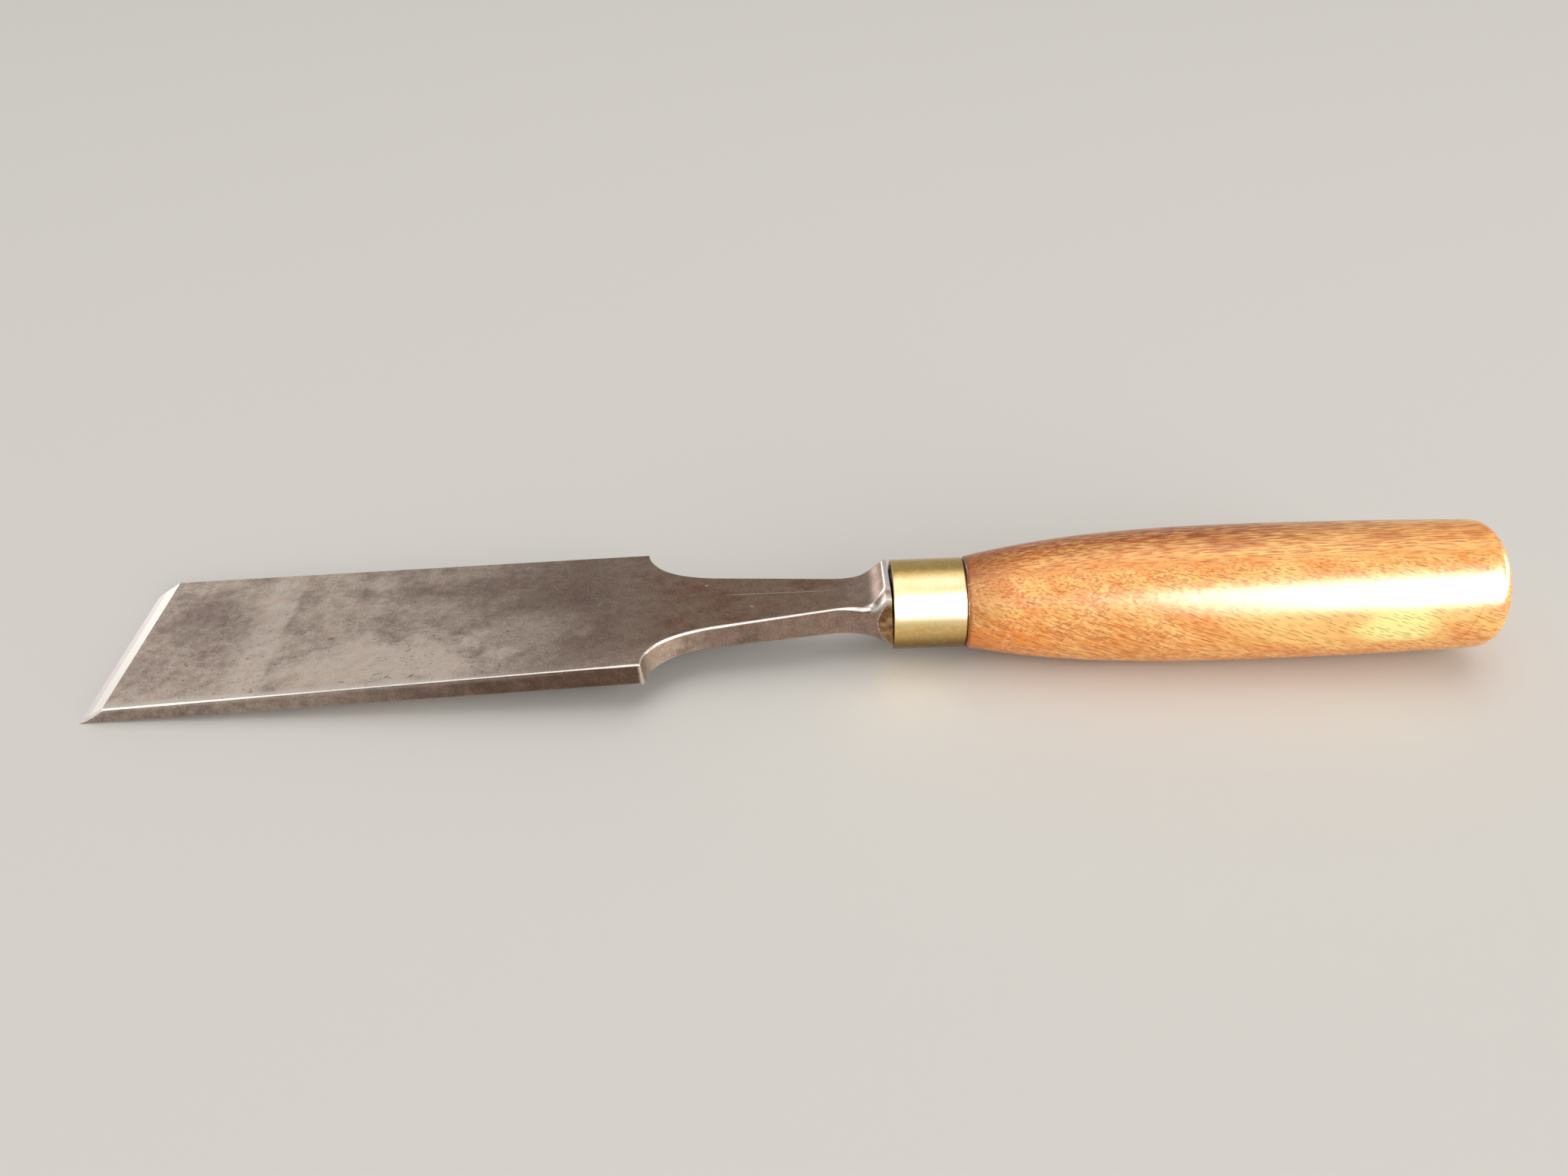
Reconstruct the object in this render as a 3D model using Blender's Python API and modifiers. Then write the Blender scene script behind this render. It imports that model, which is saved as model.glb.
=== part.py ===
"""A tang firmer chisel: a steel blade forged with its bolster and tang, a brass ferrule and a turned handle.

The tool is modelled along X, from the cutting edge at x = 0 to the end of the handle, with the handle's
axis at z = 0 and the flat back of the blade facing down. An empty then lays it on a bench the way it rests
there, on its cutting edge and on the belly of the handle. Lengths are in metres.
"""

import math

import bmesh
import bpy
from mathutils import Matrix

# Blade, with heights measured from the handle's axis
EDGE_WIDTH = 0.04445
SHOULDER_WIDTH = 0.0390
BLADE_LENGTH = 0.1130
BACK_DROP_AT_EDGE = 0.0061
BACK_DROP_AT_SHOULDER = 0.0032
HEEL_THICKNESS = 0.0033
SHOULDER_THICKNESS = 0.0049
BEVEL_ANGLE = math.radians(30)
SHOULDER_ROUND = 0.0009

# Neck, from the end of the cove to the start of the bolster's flare
COVE_DEPTH = 0.0057
COVE_REACH = 0.0083
NECK_FRONT = 0.1278
NECK_FRONT_WIDTH = 0.0175
NECK_BACK = 0.1515
NECK_BACK_WIDTH = 0.0112

# Bolster, a flare that ends in a square with its four corners filed off
BOLSTER_BACK = 0.1638
BOLSTER_ACROSS = 0.0152
BOLSTER_ACROSS_CORNERS = 0.0184
BOLSTER_LAND = 0.0028
BOLSTER_RISE_START = 0.1570
LAND_SLOPE = 0.5
FLARE_HOLD = 0.65
FLARE_STEEP = 0.15

# Tang, a square taper driven into the handle
TANG_LENGTH = 0.068
TANG_WIDTH = 0.0070
TANG_TIP_WIDTH = 0.0034

# Ferrule, a length of brass tube
FERRULE_DIAMETER = 0.0187
FERRULE_WALL = 0.0011
FERRULE_LENGTH = 0.0149
FERRULE_RIM_ROUND = 0.0003

# Handle
HANDLE_END = 0.2906
SHOULDER_DIAMETER = 0.0190
BELLY_DIAMETER = 0.02846
BELLY_PLACE = 0.2380
END_DIAMETER = 0.02676
SWELL_SLOPE = 0.215
END_SLOPE = 0.037
END_CORNER_RADIUS = 0.0042
END_DOME_RADIUS = 0.026
SHOULDER_RIM_ROUND = 0.0003

# Space left between pieces that touch
FIT_GAP = 0.0003
TANG_HOLE_SPARE = 0.002

# How finely curves are drawn
CURVE_STEPS = 10
END_STEPS = 6
ROUND_STEPS = 3
TURNED_STEPS = 48

# How far shapes reach into each other where they are joined or cut
OVERLAP = 0.001

FERRULE_FRONT = BOLSTER_BACK + FIT_GAP
FERRULE_BACK = FERRULE_FRONT + FERRULE_LENGTH
HANDLE_SHOULDER = FERRULE_BACK + FIT_GAP


def bezier(start, start_handle, end_handle, end, steps=CURVE_STEPS):
    """Points along a cubic Bezier curve, without its start."""
    points = []
    for step in range(1, steps + 1):
        t = step / steps
        weights = ((1 - t) ** 3, 3 * t * (1 - t) ** 2, 3 * t * t * (1 - t), t**3)
        corners = (start, start_handle, end_handle, end)
        points.append(tuple(sum(w * c[axis] for w, c in zip(weights, corners)) for axis in (0, 1)))
    return points


def arc(centre, radius, start_angle, end_angle, steps):
    """Points along an arc, both ends included, with angles measured from the first axis."""
    points = []
    for step in range(steps + 1):
        angle = start_angle + (end_angle - start_angle) * step / steps
        points.append((centre[0] + radius * math.cos(angle), centre[1] + radius * math.sin(angle)))
    return points


def top_height(x):
    """Height of the flat top of the blade and neck, a straight line from the bevel's heel to the bolster."""
    heel_x, heel_z = bevel_heel()
    shoulder_z = SHOULDER_THICKNESS - BACK_DROP_AT_SHOULDER
    return heel_z + (x - heel_x) * (shoulder_z - heel_z) / (BLADE_LENGTH - heel_x)


def back_slope():
    """Slope of the blade's flat back against the handle's axis."""
    return (BACK_DROP_AT_EDGE - BACK_DROP_AT_SHOULDER) / BLADE_LENGTH


def bevel_heel():
    """The line where the ground bevel meets the top of the blade."""
    bevel_slope = math.tan(BEVEL_ANGLE + math.atan(back_slope()))
    x = HEEL_THICKNESS / (bevel_slope - back_slope())
    return x, bevel_slope * x - BACK_DROP_AT_EDGE


def blade_plan():
    """Outline seen from above, in X and Y: blade, shoulders, coves, tapered neck and bolster."""
    shoulder_y = SHOULDER_WIDTH / 2
    neck_front_y = NECK_FRONT_WIDTH / 2
    neck_back_y = NECK_BACK_WIDTH / 2
    bolster_y = BOLSTER_ACROSS / 2
    taper = (neck_front_y - neck_back_y) / (NECK_BACK - NECK_FRONT)
    land_start = BOLSTER_BACK - BOLSTER_LAND
    flare_reach = (land_start - NECK_BACK) / 2
    land_reach = flare_reach / 2

    half = [(0.0, EDGE_WIDTH / 2)]
    half.append((BLADE_LENGTH - SHOULDER_ROUND, shoulder_y))
    corner = (BLADE_LENGTH, shoulder_y)
    cove_start = (BLADE_LENGTH, shoulder_y - SHOULDER_ROUND)
    half += bezier(half[-1], corner, corner, cove_start, ROUND_STEPS)
    half += bezier(
        cove_start,
        (BLADE_LENGTH, cove_start[1] - COVE_DEPTH),
        (NECK_FRONT - COVE_REACH, neck_front_y + taper * COVE_REACH),
        (NECK_FRONT, neck_front_y),
    )
    half.append((NECK_BACK, neck_back_y))
    half += bezier(
        half[-1],
        (NECK_BACK + flare_reach, neck_back_y - taper * flare_reach),
        (land_start - land_reach, bolster_y - LAND_SLOPE * land_reach),
        (land_start, bolster_y),
    )
    half.append((BOLSTER_BACK, bolster_y))
    return half + [(x, -y) for x, y in reversed(half)]


def blade_side():
    """Outline seen from the side, in X and Z: bevel, top, bolster, underside of the neck and flat back."""
    rise = BOLSTER_BACK - BOLSTER_RISE_START
    rim_z = BOLSTER_ACROSS / 2
    under_z = -BACK_DROP_AT_SHOULDER
    handle_x = BOLSTER_RISE_START + FLARE_HOLD * rise
    steep_x = BOLSTER_BACK - FLARE_STEEP * rise
    handle_z = top_height(handle_x)

    upper = [(0.0, -BACK_DROP_AT_EDGE), bevel_heel()]
    upper.append((BOLSTER_RISE_START, top_height(BOLSTER_RISE_START)))
    upper += bezier(upper[-1], (handle_x, handle_z), (steep_x, (handle_z + rim_z) / 2), (BOLSTER_BACK, rim_z))
    lower = [(BLADE_LENGTH, under_z), (BOLSTER_RISE_START, under_z)]
    lower += bezier(lower[-1], (handle_x, under_z), (steep_x, (under_z - rim_z) / 2), (BOLSTER_BACK, -rim_z))
    return upper + lower[::-1]


def handle_outline():
    """Profile of the handle as (radius, x), from the domed end down to the front of the spigot."""
    end_angle = math.atan(END_SLOPE)
    dome_centre = HANDLE_END - END_DOME_RADIUS
    corner_r = END_DIAMETER / 2 - END_CORNER_RADIUS * math.cos(end_angle)
    corner_x = dome_centre + math.sqrt((END_DOME_RADIUS - END_CORNER_RADIUS) ** 2 - corner_r**2)
    meet_angle = math.atan2(corner_x - dome_centre, corner_r)
    profile = arc((0.0, dome_centre), END_DOME_RADIUS, math.pi / 2, meet_angle, END_STEPS)
    profile += arc((corner_r, corner_x), END_CORNER_RADIUS, meet_angle, end_angle, END_STEPS)[1:]

    rim_r, rim_x = profile[-1]
    belly_r = BELLY_DIAMETER / 2
    third = (rim_x - BELLY_PLACE) / 3
    profile += bezier(
        (rim_r, rim_x),
        (rim_r + END_SLOPE * third, rim_x - third),
        (belly_r, BELLY_PLACE + third),
        (belly_r, BELLY_PLACE),
    )

    shoulder_r = SHOULDER_DIAMETER / 2
    third = (BELLY_PLACE - HANDLE_SHOULDER) / 3
    profile += bezier(
        (belly_r, BELLY_PLACE),
        (belly_r, BELLY_PLACE - third),
        (shoulder_r + SWELL_SLOPE * third, HANDLE_SHOULDER + third),
        (shoulder_r + SWELL_SLOPE * SHOULDER_RIM_ROUND, HANDLE_SHOULDER + SHOULDER_RIM_ROUND),
    )
    profile.append((shoulder_r - SHOULDER_RIM_ROUND, HANDLE_SHOULDER))

    spigot_r = FERRULE_DIAMETER / 2 - FERRULE_WALL - FIT_GAP
    profile.append((spigot_r, HANDLE_SHOULDER))
    profile.append((spigot_r, FERRULE_FRONT))
    profile.append((0.0, FERRULE_FRONT))
    return profile


def ferrule_outline():
    """Profile of the tube's wall as (radius, x): a rectangle with small rounds on its outer rims."""
    outer = FERRULE_DIAMETER / 2
    inner = outer - FERRULE_WALL
    rounded = FERRULE_RIM_ROUND
    back_round = arc((outer - rounded, FERRULE_BACK - rounded), rounded, math.pi / 2, 0.0, ROUND_STEPS)
    front_round = arc((outer - rounded, FERRULE_FRONT + rounded), rounded, 0.0, -math.pi / 2, ROUND_STEPS)
    return [(inner, FERRULE_BACK)] + back_round + front_round + [(inner, FERRULE_FRONT)]


def resting_slope():
    """Slope of the bench against the handle's axis when the edge and the handle's belly both touch it."""
    return max((radius - BACK_DROP_AT_EDGE) / x for radius, x in handle_outline())


def clear_scene():
    for obj in list(bpy.data.objects):
        bpy.data.objects.remove(obj, do_unlink=True)


def new_collection(name):
    collection = bpy.data.collections.new(name)
    bpy.context.scene.collection.children.link(collection)
    return collection


def principled(name, colour, roughness, metallic):
    material = bpy.data.materials.new(name)
    material.use_nodes = True
    shader = material.node_tree.nodes["Principled BSDF"]
    shader.inputs["Base Color"].default_value = (*colour, 1.0)
    shader.inputs["Roughness"].default_value = roughness
    shader.inputs["Metallic"].default_value = metallic
    return material


def lay_down(slope):
    """The empty that every piece hangs on: it tilts the tool onto the bench and centres it on the origin."""
    empty = bpy.data.objects.new("lying_tool", None)
    tilt = math.atan(slope)
    front = BACK_DROP_AT_EDGE * math.sin(tilt)
    back = (HANDLE_END - END_DOME_RADIUS) * math.cos(tilt) + END_DOME_RADIUS
    empty.location = (-(front + back) / 2, 0.0, BACK_DROP_AT_EDGE * math.cos(tilt))
    empty.rotation_euler = (0.0, -tilt, 0.0)
    bpy.context.scene.collection.objects.link(empty)
    return empty


def add_object(name, mesh, collection, parent):
    obj = bpy.data.objects.new(name, mesh)
    collection.objects.link(obj)
    obj.parent = parent
    return obj


def as_cutter(obj):
    obj.hide_render = True
    obj.display_type = "WIRE"
    return obj


def flat_solid(name, outline, half_thickness, collection, parent):
    """A closed slab from a flat outline: a filled 2D curve, extruded and turned into a welded mesh."""
    curve = bpy.data.curves.new(name, "CURVE")
    curve.dimensions = "2D"
    curve.fill_mode = "BOTH"
    curve.extrude = half_thickness
    spline = curve.splines.new("POLY")
    spline.points.add(len(outline) - 1)
    for point, (x, y) in zip(spline.points, outline):
        point.co = (x, y, 0.0, 1.0)
    spline.use_cyclic_u = True
    guide = bpy.data.objects.new(name + "_outline", curve)
    bpy.context.scene.collection.objects.link(guide)
    bpy.context.view_layer.update()
    mesh = bpy.data.meshes.new_from_object(guide.evaluated_get(bpy.context.evaluated_depsgraph_get()))
    mesh.name = name
    bpy.data.objects.remove(guide, do_unlink=True)
    shape = bmesh.new()
    shape.from_mesh(mesh)
    bmesh.ops.remove_doubles(shape, verts=shape.verts, dist=1e-6)
    bmesh.ops.recalc_face_normals(shape, faces=shape.faces)
    shape.to_mesh(mesh)
    shape.free()
    return add_object(name, mesh, collection, parent)


def turned_solid(name, profile, closed, collection, parent):
    """A turned piece: a profile of (radius, x) points swept round the handle's axis by a Screw modifier."""
    count = len(profile)
    edges = [(i, i + 1) for i in range(count - 1)]
    if closed:
        edges.append((count - 1, 0))
    mesh = bpy.data.meshes.new(name)
    mesh.from_pydata([(radius, 0.0, x) for radius, x in profile], edges, [])
    obj = add_object(name, mesh, collection, parent)
    obj.rotation_euler = (0.0, math.pi / 2, 0.0)
    screw = obj.modifiers.new("turned", "SCREW")
    screw.axis = "Z"
    screw.steps = TURNED_STEPS
    screw.render_steps = TURNED_STEPS
    screw.use_merge_vertices = True
    screw.merge_threshold = 1e-6
    screw.use_smooth_shade = True
    return obj


def square_taper(name, start, end, start_width, end_width, collection, parent):
    """A square bar along X that tapers from one width to another."""
    mesh = bpy.data.meshes.new(name)
    shape = bmesh.new()
    bmesh.ops.create_cone(
        shape,
        cap_ends=True,
        segments=4,
        radius1=start_width / math.sqrt(2),
        radius2=end_width / math.sqrt(2),
        depth=end - start,
        matrix=Matrix.Rotation(math.pi / 4, 4, "Z"),
    )
    shape.to_mesh(mesh)
    shape.free()
    obj = add_object(name, mesh, collection, parent)
    obj.location = ((start + end) / 2, 0.0, 0.0)
    obj.rotation_euler = (0.0, math.pi / 2, 0.0)
    return obj


def corner_file(name, angle, collection, parent):
    """A block that files one corner off the bolster, with its face square to the given direction."""
    size = BOLSTER_ACROSS
    mesh = bpy.data.meshes.new(name)
    shape = bmesh.new()
    bmesh.ops.create_cube(shape, size=size)
    shape.to_mesh(mesh)
    shape.free()
    reach = (BOLSTER_ACROSS_CORNERS + size) / 2
    obj = add_object(name, mesh, collection, parent)
    obj.location = (BOLSTER_BACK, reach * math.cos(angle), reach * math.sin(angle))
    obj.rotation_euler = (angle, 0.0, 0.0)
    return as_cutter(obj)


def combine(obj, other, operation):
    modifier = obj.modifiers.new(other.name, "BOOLEAN")
    modifier.operation = operation
    modifier.object = other
    modifier.solver = "EXACT"


def make_blade(parts, cutters, parent):
    """One forging: the flared blade with its square bevel, the neck, the bolster and the tang behind it."""
    blade = flat_solid("blade", blade_plan(), BELLY_DIAMETER, parts, parent)
    side = as_cutter(flat_solid("blade_side", blade_side(), EDGE_WIDTH, cutters, parent))
    side.rotation_euler = (math.pi / 2, 0.0, 0.0)
    combine(blade, side, "INTERSECT")
    for corner in range(4):
        angle = math.pi / 4 + corner * math.pi / 2
        combine(blade, corner_file(f"bolster_corner_{corner + 1}", angle, cutters, parent), "DIFFERENCE")
    tang_end = BOLSTER_BACK + TANG_LENGTH
    tang_start = BOLSTER_BACK - OVERLAP
    tang = square_taper("tang", tang_start, tang_end, TANG_WIDTH, TANG_TIP_WIDTH, cutters, parent)
    combine(blade, as_cutter(tang), "UNION")
    blade.data.materials.append(principled("satin_steel", (0.24, 0.20, 0.17), 0.35, 1.0))
    return blade


def make_ferrule(parts, parent):
    """A plain brass tube over the handle's spigot, which keeps the wood from splitting on the tang."""
    ferrule = turned_solid("ferrule", ferrule_outline(), True, parts, parent)
    ferrule.data.materials.append(principled("brass", (0.62, 0.47, 0.18), 0.25, 1.0))
    return ferrule


def make_handle(parts, cutters, parent):
    """Turned oak with a spigot for the ferrule and a tapered square hole for the tang."""
    handle = turned_solid("handle", handle_outline(), False, parts, parent)
    hole_end = BOLSTER_BACK + TANG_LENGTH + TANG_HOLE_SPARE
    hole = square_taper(
        "tang_hole",
        BOLSTER_BACK - OVERLAP,
        hole_end,
        TANG_WIDTH + 2 * FIT_GAP,
        TANG_TIP_WIDTH + 2 * FIT_GAP,
        cutters,
        parent,
    )
    combine(handle, as_cutter(hole), "DIFFERENCE")
    handle.data.materials.append(principled("oiled_oak", (0.50, 0.22, 0.06), 0.3, 0.0))
    return handle


clear_scene()
parts_collection = new_collection("wood_chisel")
cutters_collection = new_collection("wood_chisel_cutters")
lying_tool = lay_down(resting_slope())
make_blade(parts_collection, cutters_collection, lying_tool)
make_ferrule(parts_collection, lying_tool)
make_handle(parts_collection, cutters_collection, lying_tool)
bpy.context.view_layer.update()
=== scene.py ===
import math
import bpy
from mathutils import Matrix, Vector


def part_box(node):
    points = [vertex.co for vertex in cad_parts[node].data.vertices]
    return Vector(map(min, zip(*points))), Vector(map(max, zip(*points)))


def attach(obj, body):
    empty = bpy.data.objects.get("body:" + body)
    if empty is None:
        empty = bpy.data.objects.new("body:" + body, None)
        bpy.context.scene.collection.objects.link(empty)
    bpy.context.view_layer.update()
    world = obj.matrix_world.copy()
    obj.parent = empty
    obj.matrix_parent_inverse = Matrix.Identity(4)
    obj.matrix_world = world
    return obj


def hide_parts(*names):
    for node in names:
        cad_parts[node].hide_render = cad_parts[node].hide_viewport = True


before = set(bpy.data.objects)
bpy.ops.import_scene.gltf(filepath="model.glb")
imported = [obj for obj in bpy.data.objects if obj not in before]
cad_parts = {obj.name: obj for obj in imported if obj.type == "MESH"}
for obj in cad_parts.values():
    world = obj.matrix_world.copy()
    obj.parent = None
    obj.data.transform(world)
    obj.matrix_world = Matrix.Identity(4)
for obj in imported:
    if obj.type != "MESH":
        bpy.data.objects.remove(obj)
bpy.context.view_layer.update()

from types import SimpleNamespace

import bmesh
import bpy
from mathutils import Matrix, Quaternion, Vector, noise

# Blade: one bar of tool steel, forged with its neck, bolster and tang, then ground flat and honed by hand.
# Its long edges are worn round, and bright partly from being worn and partly from painted highlights; the
# flats are grey with a brown patina, and the tang is driven into the handle. Millimetres, from the cutting
# edge along the handle's axis, with heights from that axis.
MM = 0.001
EDGE_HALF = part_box("blade")[1].y / MM
SHOULDER_HALF = 19.5
BLADE_LENGTH = 113.0
BACK_AT_EDGE = -6.1
BACK_AT_SHOULDER = -3.2
EDGE_THICKNESS = 0.03
SQUARE_FRONT = 10.0
HEEL_X = 5.63
HEEL_Z = -2.66
TOP_SLOPE = 0.0405
SHOULDER_ROUND = 0.6
COVE_DEPTH = 5.7
COVE_REACH = 8.3
COVE_DRAFT = 0.7
COVE_DRAFT_END = (114.0, 124.0)
NECK_FRONT = (127.8, 8.75)
NECK_BACK = (151.5, 5.6)
TANG_END = 231.8
TANG_HALF = 3.5
TANG_TIP_HALF = 1.7
TANG_EDGE = 0.4

# Bolster: its flare, its land, the half moons that the land cuts from the flanks, and the filed facets
FLARE_START = 157.0
LAND_START = 161.0
LAND_SLOPE = 0.5
BOLSTER_RIM = 163.8
BOLSTER_LAND = 162.7
BOLSTER_HALF = 7.6
BOLSTER_TOP = 7.3
TOP_RISE_POWER = 2.1
BACK_DROP_POWER = 2.5
RIM_LEAN_UP = 0.25
RIM_LEAN_ACROSS = 0.1
RIM_WEAR = 0.6
RIM_WEAR_LENGTH = 0.5
MOON_BULGE = 1.4
MOON_MIDDLE = 0.7
MOON_REACH = 5.7
OUTSIDE_MOON = -1.0
NEAR_FACET = SimpleNamespace(start=159.2, end=162.5, inset=3.6, drop=0.9)
FAR_FACET = SimpleNamespace(start=161.3, end=163.2, inset=2.0, drop=1.1)
LOW_FACET = 2.6
FACET_ROUNDNESS = 0.1

# Worn edges: their size at the cutting edge, and where and by how much it changes along the blade
EDGE_SIZE = 0.42
EDGE_CHANGES = ((20.0, 55.0, -0.14), (100.0, 116.0, 0.2), (120.0, 146.0, -0.08), (152.0, 159.0, 0.4))
EDGE_DROP = 1.1
EDGE_INSET = 0.75
EDGE_ROUNDNESS = 0.25
EDGE_WANDER = 0.1
WANDER_LENGTH = 11.0
MOST_OF_THICKNESS = 0.4
FAR_EDGE = 0.4
LOW_EDGE_ON_BLADE = 0.12
LOW_EDGE_ON_NECK = 0.35
LOW_EDGE_CHANGE = (110.0, 130.0)
LOW_EDGE_WEAR = 0.1
# Painted glow round the near edge's highlight, on the top and the flank, fading towards the shoulder
PAINTED_NEAR_GLOW = SimpleNamespace(top=0.7, top_end=(65.0, 105.0), side=0.3, side_end=(85.0, 110.0))
WORN_CORNER = 1.4
WORN_SHOULDER = 0.75
WORN_SHOULDER_LENGTH = 2.5
WORN_SHOULDER_WIDTH = 5.0

STRIP_STEPS = 12
CORNER_STEPS = 6
SIDE_STEPS = 14
# The worn mark is partly wear, partly painted highlight, and a painted glow by the near edge
MARKS = ("worn", "flank", "moon", "filed")
BLADE_CREASE = 24.0

# As it lies: on the back of its cutting edge and on the belly of its handle
LYING_ANGLE = math.radians(2.05418)
LYING_PLACE = (
    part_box("blade")[0].x + BACK_AT_EDGE * MM * math.sin(LYING_ANGLE),
    0.0,
    -BACK_AT_EDGE * MM * math.cos(LYING_ANGLE),
)


def clamp(value):
    return max(0.0, min(1.0, value))


def between(start, end, share):
    return start + (end - start) * share


def ease(value, low, high):
    """0 up to low, 1 from high on, and a smooth rise between them."""
    share = clamp((value - low) / (high - low))
    return share * share * (3 - 2 * share)


def bezier(start, start_handle, end_handle, end, steps):
    """Points along a cubic Bezier curve, without its start."""
    points = []
    for step in range(1, steps + 1):
        t = step / steps
        weights = ((1 - t) ** 3, 3 * t * (1 - t) ** 2, 3 * t * t * (1 - t), t**3)
        corners = (start, start_handle, end_handle, end)
        points.append(tuple(sum(w * c[axis] for w, c in zip(weights, corners)) for axis in (0, 1)))
    return points


def straight(start, end, steps):
    """Evenly spaced points on a straight run, without its start."""
    return [tuple(between(a, b, step / steps) for a, b in zip(start, end)) for step in range(1, steps + 1)]


def blade_outline():
    """Half of the plan, from the cutting edge to the bolster's rim, as (x, half width)."""
    shoulder = (BLADE_LENGTH - SHOULDER_ROUND, SHOULDER_HALF)
    slope = (SHOULDER_HALF - EDGE_HALF) / shoulder[0]
    bevel_places = (0.0, 0.05, 0.15, 0.35, 0.65, 1.0, 1.4, 1.9, 2.6, 3.4, 4.3, 5.2, HEEL_X, 6.0, 6.8, 8.0)
    outline = [(x, EDGE_HALF + slope * x) for x in bevel_places]
    outline += straight(outline[-1], shoulder, steps=60)
    corner = (BLADE_LENGTH, SHOULDER_HALF)
    cove_start = (BLADE_LENGTH, SHOULDER_HALF - SHOULDER_ROUND)
    outline += bezier(shoulder, corner, corner, cove_start, steps=6)
    taper = (NECK_FRONT[1] - NECK_BACK[1]) / (NECK_BACK[0] - NECK_FRONT[0])
    cove_handle = (BLADE_LENGTH, cove_start[1] - COVE_DEPTH)
    neck_handle = (NECK_FRONT[0] - COVE_REACH, NECK_FRONT[1] + taper * COVE_REACH)
    outline += bezier(cove_start, cove_handle, neck_handle, NECK_FRONT, steps=28)
    outline += straight(NECK_FRONT, NECK_BACK, steps=30)
    reach = (LAND_START - NECK_BACK[0]) / 2
    flare_handle = (NECK_BACK[0] + reach, NECK_BACK[1] - taper * reach)
    land_handle = (LAND_START - reach / 2, BOLSTER_HALF - LAND_SLOPE * reach / 2)
    land_start = (LAND_START, BOLSTER_HALF)
    outline += bezier(NECK_BACK, flare_handle, land_handle, land_start, steps=24)
    outline += straight(land_start, (BOLSTER_RIM, BOLSTER_HALF), steps=14)
    return outline


def top_height(x):
    """The bevel, the flat top of blade and neck, and the bolster's rise."""
    if x < HEEL_X:
        return between(BACK_AT_EDGE + EDGE_THICKNESS, HEEL_Z, x / HEEL_X)
    flat = HEEL_Z + TOP_SLOPE * (x - HEEL_X)
    rise = clamp((x - FLARE_START) / (BOLSTER_LAND - FLARE_START))
    return between(flat, BOLSTER_TOP, rise**TOP_RISE_POWER)


def back_height(x):
    """The flat back, the underside of the neck and the bolster's drop."""
    drop = clamp((x - FLARE_START) / (BOLSTER_RIM - FLARE_START))
    flat = between(BACK_AT_EDGE, BACK_AT_SHOULDER, clamp(x / BLADE_LENGTH))
    return between(flat, -BOLSTER_HALF, drop**BACK_DROP_POWER)


def outward_at(outline, index):
    """The direction that the plan's edge faces: straight sideways round the bevel and from the neck on."""
    x = outline[index][0]
    if x < SQUARE_FRONT or x > NECK_FRONT[0]:
        return 0.0, 1.0
    before = outline[index - 1]
    after = outline[index + 1]
    length = math.hypot(after[0] - before[0], after[1] - before[1])
    return (before[1] - after[1]) / length, (after[0] - before[0]) / length


def forging_stations():
    """The bar's sizes at each place along it, from the cutting edge to the tip of the tang."""
    stations = []
    outline = blade_outline()
    round_start = BLADE_LENGTH - SHOULDER_ROUND
    for index, (x, half) in enumerate(outline):
        top = top_height(x)
        back = back_height(x)
        most = MOST_OF_THICKNESS * (top - back)
        edge = EDGE_SIZE + sum(change * ease(x, start, end) for start, end, change in EDGE_CHANGES)
        low_edge = between(LOW_EDGE_ON_BLADE, LOW_EDGE_ON_NECK, ease(x, *LOW_EDGE_CHANGE))
        low_filed = clamp((x - NEAR_FACET.start) / (BOLSTER_RIM - NEAR_FACET.start))
        stations.append(SimpleNamespace(
            x=x, half=half, top=top, back=back, outward=outward_at(outline, index),
            draft=COVE_DRAFT * ease(x, round_start, BLADE_LENGTH) * (1 - ease(x, *COVE_DRAFT_END)),
            edge=min(edge, most), low_edge=between(min(low_edge, most), LOW_FACET, low_filed),
            flare=half + LAND_SLOPE * max(0.0, x - LAND_START),
            bulge=MOON_BULGE * ease(x, FLARE_START, LAND_START),
            lean=ease(x, LAND_START, BOLSTER_RIM),
            rim=RIM_WEAR * ease(x, BOLSTER_LAND - RIM_WEAR_LENGTH, BOLSTER_LAND),
        ))
    for x, half in ((BOLSTER_RIM, TANG_HALF), (BOLSTER_RIM + 1.0, TANG_HALF), (TANG_END, TANG_TIP_HALF)):
        stations.append(SimpleNamespace(
            x=x, half=half, top=half, back=-half, outward=(0.0, 1.0), draft=0.0,
            edge=TANG_EDGE, low_edge=TANG_EDGE, flare=half, bulge=0.0, lean=0.0, rim=0.0,
        ))
    return stations


def corner_points(start, end, outer, roundness):
    """Points from start to end, on a round towards the outer corner, or on a flat as roundness falls."""
    points = []
    for step in range(CORNER_STEPS + 1):
        share = step / CORNER_STEPS
        turn = share * math.pi / 2
        point = []
        for a, b, corner in zip(start, end, outer):
            centre = a + b - corner
            on_round = centre + (a - centre) * math.cos(turn) + (b - centre) * math.sin(turn)
            point.append(between(between(a, b, share), on_round, roundness))
        points.append(tuple(point))
    return points


def worn_plan(bar, side):
    """The plan's place and half width at a station, less what is worn off the far corner and far shoulder."""
    if side < 0:
        return bar.x, bar.half
    shoulder = ease(bar.x, BLADE_LENGTH - WORN_SHOULDER_LENGTH, BLADE_LENGTH)
    shoulder *= ease(bar.half, SHOULDER_HALF - WORN_SHOULDER_WIDTH, SHOULDER_HALF)
    to_corner = max(0.0, WORN_CORNER - bar.x)
    corner = WORN_CORNER - math.sqrt(WORN_CORNER**2 - to_corner**2)
    return bar.x - WORN_SHOULDER * shoulder, bar.half - corner


def flank_width(bar, z):
    """Half the bar's width at a height, before the bolster's land cuts it off."""
    return bar.flare - bar.bulge * ((z - MOON_MIDDLE) / MOON_REACH) ** 2


def moon_at(bar, z):
    """How far inside the half moon a height on the flank is, or how far outside where it is negative."""
    return max(OUTSIDE_MOON, flank_width(bar, z) - BOLSTER_HALF) if bar.bulge else OUTSIDE_MOON


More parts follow.
